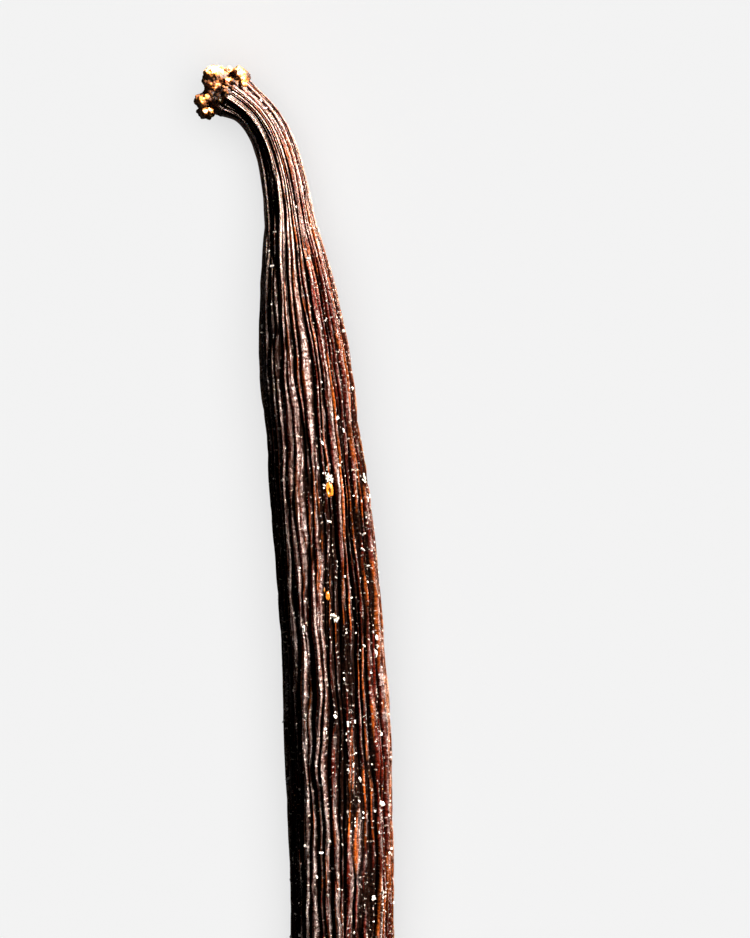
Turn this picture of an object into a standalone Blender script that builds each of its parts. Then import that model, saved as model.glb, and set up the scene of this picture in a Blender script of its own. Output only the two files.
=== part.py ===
"""A cured vanilla pod lying on a table, modelled as one solid in metres, +Z up.

The pod runs along X. Its hooked stalk end points to +X and turns to +Y, and its blossom end
points to -X. It rests at z = 0 on the pressed flats of its underside. The origin is under the
centre of its bounding box.

The skin is a grid rolled up round a curved spine. Its columns follow the pod's own folds, two
columns to a fold: one in the furrow and one on the crest. The torn stalk end is a flared rim
round a shallow crater, with dried lumps of tissue joined on.
"""

import math

import bmesh
import bpy
from mathutils import Matrix, Vector, noise

# Driving dimensions.
LENGTH = 0.158
BODY_WIDTH = 0.0086
FOLDS = 22

# The spine, as the angle between its heading and -X. It leaves the stalk end in a hook that
# fades out over HOOK_REACH, and the body bends slowly back from BEND_START to the tip.
HOOK_TURN = math.radians(55)
HOOK_REACH = 0.0043
HOOK_FADE = 1.45
BODY_LEAN = math.radians(6)
BODY_TURN = math.radians(20)
BEND_START = 0.20

# Shapes along the pod: (share of LENGTH from the stalk end, value).
WIDTHS = (
    (0.000, 0.450),
    (0.010, 0.375),
    (0.032, 0.394),
    (0.063, 0.445),
    (0.073, 0.475),
    (0.082, 0.540),
    (0.103, 0.680),
    (0.123, 0.775),
    (0.143, 0.850),
    (0.163, 0.876),
    (0.182, 0.890),
    (0.203, 0.955),
    (0.242, 0.995),
    (0.300, 1.000),
    (0.342, 1.005),
    (0.430, 0.984),
    (0.560, 1.000),
    (0.680, 0.950),
    (0.790, 0.850),
    (0.880, 0.690),
    (0.945, 0.490),
    (0.980, 0.330),
    (0.993, 0.270),
    (1.000, 0.190),
)
THICKNESS_TO_WIDTH = (
    (0.00, 0.96),
    (0.07, 0.94),
    (0.16, 0.74),
    (0.35, 0.67),
    (0.70, 0.66),
    (0.88, 0.74),
    (0.97, 0.88),
    (1.00, 0.92),
)
LIFTS = (
    (0.00, 0.0012),
    (0.05, 0.0009),
    (0.13, 0.0001),
    (0.18, 0.0),
    (0.86, 0.0),
    (0.93, 0.0002),
    (1.00, 0.0009),
)

# Folds. Depths are shares of the local half width.
FURROW_DEPTH = 0.15
UNDERSIDE_DEPTH = 0.38
PRESSED_IN = 0.0003
FOLD_WANDER = 0.55
FOLD_WANDER_LENGTH = 0.030
CREST_WANDER = 0.50
CREST_WANDER_LENGTH = 0.017
TWIST = math.radians(24)
LOBES = 3
LOBE_HEIGHT = 0.035

# Slow swelling and shrinking along the pod, as shares of its width and of its thickness.
SWELL_LENGTH = 0.011
WIDTH_SWELL = 0.025
THICKNESS_SWELL = 0.05

# Mesh resolution along the pod: the hook and the tip take closer rings than the body.
END_RING_GAP = 0.0009
BODY_RING_GAP = 0.0030
STALK_STRETCH = 0.026
TIP_STRETCH = 0.012

# The two ends. The stalk end is torn, with a crater and dried lumps. The tip has a scar.
RIM_INSET = 0.00045
CRATER_DEPTH = 0.0007
SCAR_INSET = 0.00025
SCAR_DEPTH = 0.0002
LUMPS = (
    # out along the stalk, across it, up, then half the length, width and height
    (0.00184, -0.00058, 0.00030, 0.00104, 0.00088, 0.00085),
    (-0.00007, -0.00150, 0.00022, 0.00056, 0.00082, 0.00100),
    (0.00168, 0.00144, -0.00005, 0.00066, 0.00066, 0.00075),
    (0.00118, 0.00214, -0.00040, 0.00072, 0.00050, 0.00065),
    (0.00092, 0.00048, -0.00025, 0.00118, 0.00128, 0.00105),
    (0.00035, -0.00050, -0.00030, 0.00070, 0.00072, 0.00090),
    (0.00068, -0.00138, 0.00005, 0.00062, 0.00050, 0.00060),
    (0.00035, 0.00142, -0.00010, 0.00076, 0.00050, 0.00080),
    (0.00090, 0.00010, -0.00110, 0.00085, 0.00110, 0.00060),
)
LUMP_ROUGHNESS = 0.16
LUMP_GRAIN = 0.0007

SKIN_COLOUR = (0.020, 0.009, 0.006, 1.0)


def clear_scene():
    for old in list(bpy.data.objects):
        bpy.data.objects.remove(old, do_unlink=True)


def curve_through(stations, share):
    """A smooth curve through the stations: a cubic between each two, with averaged slopes."""
    last = len(stations) - 1
    index = 0
    while index < last - 1 and share > stations[index + 1][0]:
        index += 1

    def slope(at):
        before, after = stations[max(at - 1, 0)], stations[min(at + 1, last)]
        return (after[1] - before[1]) / (after[0] - before[0])

    (x0, y0), (x1, y1) = stations[index], stations[index + 1]
    gap = x1 - x0
    u = min(max((share - x0) / gap, 0.0), 1.0)
    start = (1 + 2 * u) * (1 - u) ** 2 * y0 + u * (1 - u) ** 2 * gap * slope(index)
    end = u * u * (3 - 2 * u) * y1 + u * u * (u - 1) * gap * slope(index + 1)
    return start + end


def heading_angle(share):
    """Angle of the spine away from -X, towards -Y."""
    hook = HOOK_TURN * math.exp(-((share * LENGTH / HOOK_REACH) ** HOOK_FADE))
    bend = BODY_TURN * max(0.0, share - BEND_START) / (1 - BEND_START)
    return hook + BODY_LEAN - bend


def spine_points(steps=1600):
    """Places of the spine's even steps in the XY plane, from the stalk end to the tip."""
    place = Vector((0.0, 0.0))
    places = [place.copy()]
    for step in range(steps):
        angle = heading_angle((step + 0.5) / steps)
        place += Vector((-math.cos(angle), -math.sin(angle))) * (LENGTH / steps)
        places.append(place.copy())
    return places


def ring_shares():
    """Shares of the length where the rings go, with closer rings towards both ends."""
    shares, at = [], 0.0
    while at < LENGTH:
        shares.append(at / LENGTH)
        near_stalk = max(0.0, 1 - at / STALK_STRETCH)
        near_tip = max(0.0, 1 - (LENGTH - at) / TIP_STRETCH)
        at += BODY_RING_GAP + (END_RING_GAP - BODY_RING_GAP) * max(near_stalk, near_tip)
    shares[-1] = 1.0
    return shares


def fold_bounds(share):
    """Angles of the furrows round the pod. Each fold's width wanders along the pod."""
    along = share * LENGTH / FOLD_WANDER_LENGTH
    widths = [
        1 + FOLD_WANDER * noise.noise(Vector((fold * 3.71, along, 0.5)))
        for fold in range(FOLDS)
    ]
    turn = math.tau / sum(widths)
    angle = TWIST * share
    bounds = [angle]
    for width in widths:
        angle += width * turn
        bounds.append(angle)
    return bounds


def crest_height(fold, share):
    """How high a fold stands, where 1 reaches the pod's full width."""
    along = share * LENGTH / CREST_WANDER_LENGTH
    return 1 + CREST_WANDER * (noise.noise(Vector((fold * 5.13, along, 7.5))) - 0.3)


def half_sizes(share):
    """Half the width and half the thickness at this share of the length."""
    along = share * LENGTH / SWELL_LENGTH
    wider = 1 + WIDTH_SWELL * noise.noise(Vector((along, 3.3, 0.5)))
    thicker = 1 + THICKNESS_SWELL * noise.noise(Vector((along, 8.8, 0.5)))
    half_width = curve_through(WIDTHS, share) * BODY_WIDTH / 2 * wider
    return half_width, half_width * curve_through(THICKNESS_TO_WIDTH, share) * thicker


def section_point(share, column):
    """Offset of a column from the spine, as (across, up), at this share of the length."""
    half_width, half_height = half_sizes(share)
    fold = (column // 2) % FOLDS
    bounds = fold_bounds(share)
    angle = bounds[fold]
    height = 0.0
    if column % 2:
        angle = (bounds[fold] + bounds[fold + 1]) / 2
        height = crest_height(fold, share)
    lobe = 1 + LOBE_HEIGHT * math.cos(LOBES * angle)
    across, up = math.cos(angle), math.sin(angle)
    outward = Vector((across / half_width, up / half_height)).normalized()
    depth = FURROW_DEPTH * half_width * (1 - height)
    depth *= 1 - (1 - UNDERSIDE_DEPTH) * max(0.0, -up)
    place = Vector((across * half_width, up * half_height)) * lobe
    return place - outward * depth


def skin_place(share, column, spine):
    """A point of the skin. What would reach under the table is pressed flat at z = 0."""
    steps = len(spine) - 1
    centre = spine[min(int(share * steps + 0.5), steps)]
    angle = heading_angle(share)
    side = Vector((math.sin(angle), -math.cos(angle)))
    across, up = section_point(share, column)
    rise = half_sizes(share)[1] - PRESSED_IN + curve_through(LIFTS, share)
    flat = centre + side * across
    return Vector((flat.x, flat.y, max(0.0, rise + up)))


def roll_up_skin(spine):
    """The pod's skin: a grid rolled round the spine, welded along its seam and closed."""
    shares = ring_shares()
    columns = FOLDS * 2
    mesh = bmesh.new()
    bmesh.ops.create_grid(
        mesh, x_segments=columns, y_segments=len(shares) - 1, size=1.0
    )
    for vert in mesh.verts:
        column = round((vert.co.x + 1) / 2 * columns) % columns
        ring = round((vert.co.y + 1) / 2 * (len(shares) - 1))
        vert.co = skin_place(shares[ring], column, spine)
    bmesh.ops.remove_doubles(mesh, verts=mesh.verts, dist=0.000001)
    close_ends(mesh)
    bmesh.ops.recalc_face_normals(mesh, faces=mesh.faces)
    return mesh


def close_ends(mesh):
    """Sinks a crater inside the rim of the stalk end, and a shallow scar into the tip."""
    rims = [edge for edge in mesh.edges if edge.is_boundary]
    caps = bmesh.ops.holes_fill(mesh, edges=rims)["faces"]
    caps = sorted(caps, key=lambda face: face.calc_center_median().x)
    ends = ((1.0, -1, SCAR_INSET, SCAR_DEPTH), (0.0, 1, RIM_INSET, CRATER_DEPTH))
    for cap, (share, sign, inset, depth) in zip(caps, ends):
        angle = heading_angle(share)
        outwards = Vector((math.cos(angle), math.sin(angle), 0)) * sign
        bmesh.ops.inset_region(mesh, faces=[cap], thickness=inset)
        bmesh.ops.translate(mesh, verts=cap.verts, vec=outwards * -depth)
    bmesh.ops.poke(mesh, faces=caps)


def add_object(name, mesh, material, collection):
    data = bpy.data.meshes.new(name)
    mesh.to_mesh(data)
    mesh.free()
    made = bpy.data.objects.new(name, data)
    made.data.materials.append(material)
    collection.objects.link(made)
    return made


def lump_mesh(number, lump, centre):
    """One dried lump of the stalk end: a ball pressed to size and roughened."""
    out, across, up, length, width, height = lump
    mesh = bmesh.new()
    bmesh.ops.create_icosphere(mesh, subdivisions=2, radius=1.0)
    for vert in mesh.verts:
        swell = noise.noise(vert.co * (0.001 / LUMP_GRAIN) + Vector((number * 9.7, 0, 0)))
        vert.co *= 1 + LUMP_ROUGHNESS * 2 * swell
    angle = heading_angle(0)
    outwards = Vector((math.cos(angle), math.sin(angle), 0))
    side = Vector((math.sin(angle), -math.cos(angle), 0))
    turn = Matrix((outwards, side * -1, Vector((0, 0, 1)))).transposed().to_4x4()
    size = Matrix.Diagonal((length, width, height, 1))
    place = Matrix.Translation(centre + outwards * out - side * across + Vector((0, 0, up)))
    bmesh.ops.transform(mesh, matrix=place @ turn @ size, verts=mesh.verts)
    return mesh


def join_lumps(pod, material, helpers):
    """Joins the lumps to the pod, one Boolean union after another."""
    ring = [vert.co for vert in pod.data.vertices if vert.co.length < BODY_WIDTH / 2]
    centre = Vector((0, 0, (min(p.z for p in ring) + max(p.z for p in ring)) / 2))
    for number, lump in enumerate(LUMPS):
        shape = add_object(f"lump_{number}", lump_mesh(number, lump, centre), material, helpers)
        shape.hide_render = True
        shape.display_type = "WIRE"
        union = pod.modifiers.new(f"join_lump_{number}", "BOOLEAN")
        union.operation = "UNION"
        union.object = shape


def skin_material():
    material = bpy.data.materials.new("cured_skin")
    material.use_nodes = True
    shader = material.node_tree.nodes["Principled BSDF"]
    shader.inputs["Base Color"].default_value = SKIN_COLOUR
    shader.inputs["Roughness"].default_value = 0.42
    shader.inputs["Metallic"].default_value = 0.0
    return material


def centre_on_origin(pod, helpers):
    """Moves the pod and its lumps so that the bounding box stands centred over the origin."""
    bpy.context.view_layer.update()
    graph = bpy.context.evaluated_depsgraph_get()
    corners = [Vector(corner) for corner in pod.evaluated_get(graph).bound_box]
    middle_x = (min(c.x for c in corners) + max(c.x for c in corners)) / 2
    middle_y = (min(c.y for c in corners) + max(c.y for c in corners)) / 2
    shift = Matrix.Translation((-middle_x, -middle_y, 0))
    for moved in [pod, *helpers.objects]:
        moved.data.transform(shift)


def main():
    clear_scene()
    parts = bpy.data.collections.new("vanilla_pod")
    helpers = bpy.data.collections.new("joined_shapes")
    for collection in (parts, helpers):
        bpy.context.scene.collection.children.link(collection)
    material = skin_material()
    pod = add_object("pod", roll_up_skin(spine_points()), material, parts)
    join_lumps(pod, material, helpers)
    centre_on_origin(pod, helpers)
    pod.data.shade_smooth()


main()
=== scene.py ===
"""The visible surface of a cured vanilla pod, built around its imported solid. Metres, +Z up.

The pod lies along X with its hooked stalk end at +X. Its skin is a grid rolled up round the same
spine and the same folds as the solid, with finer creases and wrinkles between them. The torn
stalk end, the frost of crystals and the drops of resin are pieces of their own.
"""

import functools
import math
import random
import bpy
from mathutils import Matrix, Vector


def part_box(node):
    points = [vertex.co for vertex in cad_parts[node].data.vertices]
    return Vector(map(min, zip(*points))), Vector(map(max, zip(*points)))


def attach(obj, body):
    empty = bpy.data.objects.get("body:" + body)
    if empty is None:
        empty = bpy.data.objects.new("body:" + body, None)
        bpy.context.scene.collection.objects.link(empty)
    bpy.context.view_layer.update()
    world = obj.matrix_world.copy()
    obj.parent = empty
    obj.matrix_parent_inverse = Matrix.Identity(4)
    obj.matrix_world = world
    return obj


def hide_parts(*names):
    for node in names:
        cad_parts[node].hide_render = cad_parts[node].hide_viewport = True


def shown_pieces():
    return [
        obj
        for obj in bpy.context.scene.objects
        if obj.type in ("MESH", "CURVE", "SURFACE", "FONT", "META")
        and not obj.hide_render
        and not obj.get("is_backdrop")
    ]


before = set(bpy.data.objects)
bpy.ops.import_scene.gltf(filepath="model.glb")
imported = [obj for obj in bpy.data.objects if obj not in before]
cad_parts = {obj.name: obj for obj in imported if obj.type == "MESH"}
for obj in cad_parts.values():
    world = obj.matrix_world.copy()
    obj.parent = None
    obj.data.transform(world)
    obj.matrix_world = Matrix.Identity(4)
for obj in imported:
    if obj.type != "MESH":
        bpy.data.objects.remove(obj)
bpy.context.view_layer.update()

from types import SimpleNamespace

import bmesh
import bpy
from bpy.props import FloatProperty, FloatVectorProperty, IntProperty, PointerProperty
from bpy.types import Operator, Panel, PropertyGroup
from mathutils import Euler, Matrix, Vector, noise

bl_info = {
    "name": "Vanilla Pod",
    "version": (1, 0, 0),
    "blender": (4, 5, 0),
    "location": "View3D > Sidebar > Vanilla",
    "description": "Builds the skin, crust, frost and resin of a cured vanilla pod",
    "category": "Add Mesh",
}

MM = 0.001

# The solid's own dimensions, which the skin repeats.
LENGTH = 0.158
BODY_WIDTH = 0.0086
FOLDS = 22
HOOK_TURN = math.radians(55)
HOOK_REACH = 0.0043
HOOK_FADE = 1.45
BODY_LEAN = math.radians(6)
BODY_TURN = math.radians(20)
BEND_START = 0.20
WIDTHS = (
    (0.000, 0.450), (0.010, 0.375), (0.032, 0.394), (0.063, 0.445), (0.073, 0.475),
    (0.082, 0.540), (0.103, 0.680), (0.123, 0.775), (0.143, 0.850), (0.163, 0.876),
    (0.182, 0.890), (0.203, 0.955), (0.242, 0.995), (0.300, 1.000), (0.342, 1.005),
    (0.430, 0.984), (0.560, 1.000), (0.680, 0.950), (0.790, 0.850), (0.880, 0.690),
    (0.945, 0.490), (0.980, 0.330), (0.993, 0.270), (1.000, 0.190),
)
THICKNESS_TO_WIDTH = (
    (0.00, 0.96), (0.07, 0.94), (0.16, 0.74), (0.35, 0.67),
    (0.70, 0.66), (0.88, 0.74), (0.97, 0.88), (1.00, 0.92),
)
LIFTS = (
    (0.00, 0.0012), (0.05, 0.0009), (0.13, 0.0001), (0.18, 0.0),
    (0.86, 0.0), (0.93, 0.0002), (1.00, 0.0009),
)
UNDERSIDE_DEPTH = 0.38
PRESSED_IN = 0.0003
FOLD_WANDER = 0.55
FOLD_WANDER_LENGTH = 0.030
CREST_WANDER = 0.50
CREST_WANDER_LENGTH = 0.017
TWIST = math.radians(24)
LOBES = 3
LOBE_HEIGHT = 0.035
SWELL_LENGTH = 0.011
WIDTH_SWELL = 0.025
THICKNESS_SWELL = 0.05
LUMPS = (
    # out along the stalk, across it, up, then half the length, width and height
    (0.00184, -0.00058, 0.00030, 0.00104, 0.00088, 0.00085),
    (-0.00007, -0.00150, 0.00022, 0.00056, 0.00082, 0.00100),
    (0.00168, 0.00144, -0.00005, 0.00066, 0.00066, 0.00075),
    (0.00118, 0.00214, -0.00040, 0.00072, 0.00050, 0.00065),
    (0.00092, 0.00048, -0.00025, 0.00118, 0.00128, 0.00105),
    (0.00035, -0.00050, -0.00030, 0.00070, 0.00072, 0.00090),
    (0.00068, -0.00138, 0.00005, 0.00062, 0.00050, 0.00060),
    (0.00035, 0.00142, -0.00010, 0.00076, 0.00050, 0.00080),
    (0.00090, 0.00010, -0.00110, 0.00085, 0.00110, 0.00060),
)

LUMP_ROUGHNESS = 0.16
LUMP_GRAIN = 0.0007

# How the skin's finer relief is laid out.
SWAY = 0.085
SWAY_LENGTH = 0.0065
FURROW_STEEPNESS = 3.0
FLOOR_RISE = 0.6
FLOOR_LENGTH = 0.015
CREASE_REACH = 0.17
CREASE_LENGTH = 0.012
CREASE_SHARE = 0.85
CREASE_SHARPNESS = 1.3
FINE_WRINKLES = 0.45
WRINKLE_LENGTH = 0.0060
WRINKLES_PER_FOLD = 2.9
LAST_TOP_FOLD = 11
# The painted glow: red and orange light through the folds' thin crests, painted on each fold's shadow
# side, where its relief falls away across it. Its gain, the relief it sits at, its reach, and the
# share left on the pod's outer sides.
GLOW_EDGE_GAIN = 6.0
GLOW_EDGE_HEIGHT = 0.66
GLOW_EDGE_REACH = 0.17
GLOW_EDGE_ON_FLANK = 0.10
NECK_END = 0.13
LOWER_BODY = (0.20, 0.42)
# How strongly painted shade darkens the ridges on the pod's two sides, away from the neck.
SIDE_SHADE_STRENGTH = 0.85
GRAINS = (
    # small pale grains of the crust: out, across, up, half the length and the width
    (0.00112, -0.00165, 0.00070, 0.00022, 0.00020),
    (0.00047, -0.00190, 0.00075, 0.00034, 0.00036),
    (0.00007, -0.00167, 0.00098, 0.00036, 0.00036),
    (-0.00026, -0.00140, 0.00118, 0.00034, 0.00030),
    (-0.00057, -0.00108, 0.00140, 0.00030, 0.00020),
    (0.00070, -0.00078, 0.00095, 0.00026, 0.00011),
    (0.00046, 0.00080, 0.00120, 0.00024, 0.00014),
    (0.00020, 0.00029, 0.00140, 0.00012, 0.00014),
    (0.00107, 0.00215, 0.00062, 0.00036, 0.00030),
    (0.00080, 0.00195, 0.00070, 0.00034, 0.00024),
    (0.00170, 0.00149, 0.00060, 0.00044, 0.00038),
    (0.00150, 0.00125, 0.00060, 0.00040, 0.00034),
)
PALE_PLACES = (
    # out, across, reach, how pale
    (0.00256, -0.00091, 0.00062, 0.90),
    (0.00205, -0.00105, 0.00060, 0.95),
    (0.00155, -0.00125, 0.00034, 0.8),
    (0.00112, -0.00165, 0.00030, 1.1),
    (0.00047, -0.00195, 0.00034, 0.8),
    (0.00007, -0.00172, 0.00034, 1.0),
    (-0.00026, -0.00142, 0.00034, 1.0),
    (-0.00057, -0.00108, 0.00030, 0.8),
    (0.00070, -0.00078, 0.00024, 1.3),
    (0.00046, 0.00080, 0.00022, 1.2),
    (0.00020, 0.00029, 0.00016, 1.1),
    (0.00107, 0.00215, 0.00030, 0.9),
    (0.00080, 0.00195, 0.00030, 1.0),
    (0.00170, 0.00149, 0.00042, 0.72),
    (0.00150, 0.00125, 0.00038, 0.62),
    (0.00150, -0.00020, 0.00080, 0.25),
)
FIBRE_COUNT = 46
SKIN_MARGIN = (0.01, 0.03)
AMBER_DROPS = (
    # x, y, length, width, depth of the pit
    (0.04556, -0.00283, 0.00125, 0.00062, 0.5),
    (0.03727, -0.00273, 0.00070, 0.00034, 0.3),
    (0.03775, -0.00245, 0.00040, 0.00022, 0.0),
)
PALE_CLUMPS = (
    # x, y, length, width, turn, number of chips
    (0.04693, -0.00232, 0.00110, 0.00016, 0.75, 9),
    (0.04650, -0.00280, 0.00070, 0.00040, 0.2, 14),
    (0.04720, -0.00268, 0.00050, 0.00012, -0.2, 4),
    (0.03552, -0.00327, 0.00050, 0.00060, 0.0, 16),
    (0.04655, -0.00552, 0.00090, 0.00036, 0.1, 10),
    (0.04480, -0.00575, 0.00080, 0.00030, 0.1, 8),
)
FROST_AMOUNTS = (
    # share of the length, how much frost
    (0.00, 0.10), (0.06, 0.16), (0.14, 0.35), (0.24, 0.62),
    (0.36, 0.95), (0.70, 0.95), (0.90, 0.60), (1.00, 0.35),
)
# Each ring of a closed end: its share of the radius, and how far out it lies in radii.
RIM_STEPS = ((0.93, 0.10), (0.82, -0.10), (0.70, -0.45), (0.50, -0.65), (0.25, -0.70))
TIP_STEPS = ((0.80, 0.10), (0.60, 0.12), (0.42, 0.02), (0.25, -0.10), (0.12, -0.16))
LIT_SPOT = (0.03, 0, 0.002)
KEY_SIZE = (0.08, 0.34)
FILL_SIZE = (0.6, 0.24)
FLOOR_LIGHT_SIZE = (2.4, 2.4)
FLOOR_DROP = 0.00003
LENS = 120
LENS_LIFT = 0.0027


# ---------------------------------------------------------------- the pod's form


def curve_through(stations, share):
    """A smooth curve through the stations: a cubic between each two, with averaged slopes."""
    last = len(stations) - 1
    index = 0
    while index < last - 1 and share > stations[index + 1][0]:
        index += 1

    def slope(at):
        before, after = stations[max(at - 1, 0)], stations[min(at + 1, last)]
        return (after[1] - before[1]) / (after[0] - before[0])

    (x0, y0), (x1, y1) = stations[index], stations[index + 1]
    gap = x1 - x0
    u = min(max((share - x0) / gap, 0.0), 1.0)
    start = (1 + 2 * u) * (1 - u) ** 2 * y0 + u * (1 - u) ** 2 * gap * slope(index)
    end = u * u * (3 - 2 * u) * y1 + u * u * (u - 1) * gap * slope(index + 1)
    return start + end


def clamp(value, low=0.0, high=1.0):
    return min(max(value, low), high)


def wander(row, along, layer):
    """Smooth noise from about -1 to 1, which differs by row and layer and changes along."""
    return noise.noise(Vector((row, along, layer)))


def heading_angle(share):
    """Angle of the spine away from -X, towards -Y."""
    hook = HOOK_TURN * math.exp(-((max(share, 0.0) * LENGTH / HOOK_REACH) ** HOOK_FADE))
    bend = BODY_TURN * max(0.0, share - BEND_START) / (1 - BEND_START)
    return hook + BODY_LEAN - bend


@functools.lru_cache
def spine_points(steps=1600):
    """Places of the spine's even steps in the XY plane, from the stalk end to the tip."""
    place = Vector((0.0, 0.0))
    places = [place.copy()]
    for step in range(steps):
        angle = heading_angle((step + 0.5) / steps)
        place += Vector((-math.cos(angle), -math.sin(angle))) * (LENGTH / steps)
        places.append(place.copy())
    return places


def spine_place(share):
    places = spine_points()
    at = clamp(share) * (len(places) - 1)
    low = min(int(at), len(places) - 2)
    return places[low].lerp(places[low + 1], at - low)


class Section:
    """The pod's cross-section at one share of its length, as the rolled skin follows it."""

    def __init__(self, share, look):
        self.look = look
        self.share = share
        self.along = share * LENGTH
        self.angle = heading_angle(share)
        self.side = Vector((math.sin(self.angle), -math.cos(self.angle), 0))
        self.centre = spine_place(share).to_3d()
        swell = self.along / SWELL_LENGTH
        wider = 1 + WIDTH_SWELL * wander(swell, 3.3, 0.5)
        thicker = 1 + THICKNESS_SWELL * wander(swell, 8.8, 0.5)
        self.half_width = curve_through(WIDTHS, share) * BODY_WIDTH / 2 * wider
        self.half_height = self.half_width * curve_through(THICKNESS_TO_WIDTH, share) * thicker
        self.rise = self.half_height - PRESSED_IN + curve_through(LIFTS, share)
        self.bounds = self.fold_bounds()
        rows = range(FOLDS + 1)
        crest = self.along / CREST_WANDER_LENGTH
        floor = self.along / FLOOR_LENGTH
        crease = self.along / CREASE_LENGTH
        self.crests = [
            1 + CREST_WANDER * (wander(row * 5.13, crest, 7.5) - 0.3) for row in rows
        ]
        self.floors = [
            FLOOR_RISE * clamp(wander(row % FOLDS * 6.3, floor, 12.5) * 1.7 - 0.2)
            for row in rows
        ]
        self.crease_at = [0.5 + 0.28 * wander(row * 2.2, crease * 0.5, 31.5) for row in rows]
        self.crease_depths = [
            clamp(CREASE_SHARE + 1.3 * wander(row * 8.1, crease, 44.5)) for row in rows
        ]

    def fold_bounds(self):
        """Angles of the furrows round the pod. Each fold's width wanders along the pod."""
        along = self.along / FOLD_WANDER_LENGTH
        widths = [1 + FOLD_WANDER * wander(fold * 3.71, along, 0.5) for fold in range(FOLDS)]
        turn = math.tau / sum(widths)
        bounds = [TWIST * self.share]
        for width in widths:
            bounds.append(bounds[-1] + width * turn)
        return bounds

    def height(self, fold, across):
        """How high the skin stands between two furrows: 0 at their floor, 1 at full width."""
        to_edge = 2 * min(across, 1 - across)
        dome = 1 - (1 - to_edge) ** FURROW_STEEPNESS
        near_crease = 1 - abs(across - self.crease_at[fold]) / CREASE_REACH
        if near_crease > 0:
            dome -= self.look.crease_depth * self.crease_depths[fold] * near_crease**CREASE_SHARPNESS
        floor = self.floors[fold] * (1 - across) + self.floors[fold + 1] * across
        return floor + (self.crests[fold] - floor) * dome

    def wrinkle(self, fold, across):
        """Fine wrinkles that run along the folds, from about -1 in a crease to 0."""
        row = (fold + across) * WRINKLES_PER_FOLD
        along = self.along / WRINKLE_LENGTH
        bend = 0.8 * wander(row * 0.4, along * 0.5, 61.5)
        first = abs(wander(row + bend, along, 71.5))
        second = abs(wander(row * 2.3 - bend, along * 1.7, 81.5))
        return -((1 - clamp(first * 3.6)) ** 1.3) - FINE_WRINKLES * (1 - clamp(second * 3.2))

    def angle_at(self, fold, across):
        """The angle round the pod at a place in a fold. The folds sway a little as they run."""
        start, end = self.bounds[fold], self.bounds[fold + 1]
        angle = start + (end - start) * across
        where = Vector((math.cos(angle), math.sin(angle), 0)) * 2.2
        slow = noise.noise(where + Vector((5.5, 0, self.along / SWAY_LENGTH)))
        fast = noise.noise(where * 2.4 + Vector((9.5, 0, self.along / SWAY_LENGTH * 2.6)))
        return angle + SWAY * (slow + 0.38 * fast)

    def point(self, fold, across):
        """A point of the skin, and its height in the folds."""
        angle = self.angle_at(fold, across)
        lobe = 1 + LOBE_HEIGHT * math.cos(LOBES * angle)
        right, up = math.cos(angle), math.sin(angle)
        outward = Vector((right / self.half_width, up / self.half_height)).normalized()
        height = self.height(fold, across)
        wrinkle = self.wrinkle(fold, across)
        depth = self.look.furrow_depth * self.half_width * (1 - height)
        depth -= self.look.wrinkle_depth * wrinkle * (0.35 + 0.65 * self.half_width / 0.0042)
        depth *= 1 - (1 - UNDERSIDE_DEPTH) * max(0.0, -up)
        flat = Vector((right * self.half_width, up * self.half_height)) * lobe
        flat -= outward * depth
        place = self.centre + self.side * flat.x
        place.z = max(0.0, self.rise + flat.y)
        return place, clamp(height + 0.25 * wrinkle)

    def flank(self, fold, across):
        """1 at the pod's two sides, falling to 0 over its top and its underside."""
        return abs(math.cos(self.angle_at(fold, across)))

    def outward(self, fold, across):
        """The way out of the pod at a point of the skin, leaving the folds aside."""
        angle = self.angle_at(fold, across)
        right, up = math.cos(angle) / self.half_width, math.sin(angle) / self.half_height
        return (self.side * right + Vector((0, 0, up))).normalized()


@functools.lru_cache
def into_frame():
    """The move that takes the spine's own coordinates to the frame's.

    The box's low X is at the tip and its low Y at the belly, and both are on the skin.
    """
    look = bpy.context.scene.vanilla_skin
    low_x = low_y = math.inf
    for step in range(81):
        section = Section(step / 80, look)
        for fold in range(FOLDS):
            place = section.point(fold, 0.5)[0]
            low_x = min(low_x, place.x)
            low_y = min(low_y, place.y)
    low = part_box("pod")[0]
    return Vector((low[0] - low_x, low[1] - low_y, 0.0))


def column_places(look):
    """The (fold, share across it) of the skin's columns: close over the top, wider below."""
    places = []
    for fold in range(FOLDS):
        on_top = fold <= LAST_TOP_FOLD or fold == FOLDS - 1
        count = look.columns_per_fold if on_top else look.columns_below
        places += [(fold, step / count) for step in range(count)]
    return places


def ring_shares(look):
    """Shares of the length where the skin's rings go: close at both ends, wider between."""
    shares, at = [], 0.0
    while at < LENGTH:
        shares.append(at / LENGTH)
        from_end = min(at / 0.006, (LENGTH - at) / 0.006)
        spread = clamp((at - 0.075) / 0.02)
        gap = look.ring_gap + (look.far_ring_gap - look.ring_gap) * spread
        at += gap * (0.45 + 0.55 * clamp(from_end))
    shares[-1] = 1.0
    return shares


# ---------------------------------------------------------------- helpers


def new_object(name, mesh, material):
    """A piece made from a bmesh, with one material."""
    data = bpy.data.meshes.new(name)
    mesh.to_mesh(data)
    mesh.free()
    return link_object(name, data, material)


def link_object(name, data, material):
    made = bpy.data.objects.new(name, data)
    made.data.materials.append(material)
    bpy.context.scene.collection.objects.link(made)
    return made


def new_material(name):
    """A material with its tree, its Principled shader and its Material Output."""
    material = bpy.data.materials.new(name)
    material.use_nodes = True
    return material, material.node_tree, material.node_tree.nodes["Principled BSDF"]


def add_node(tree, kind, settings=None, **inputs):
    """Adds a node, sets it up, and links or sets its inputs by name."""
    node = tree.nodes.new(kind)
    for key, value in (settings or {}).items():
        setattr(node, key, value)
    for key, value in inputs.items():
        socket = find_input(node, key)
        if isinstance(value, bpy.types.NodeSocket):
            tree.links.new(value, socket)
        else:
            socket.default_value = value
    return node


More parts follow.
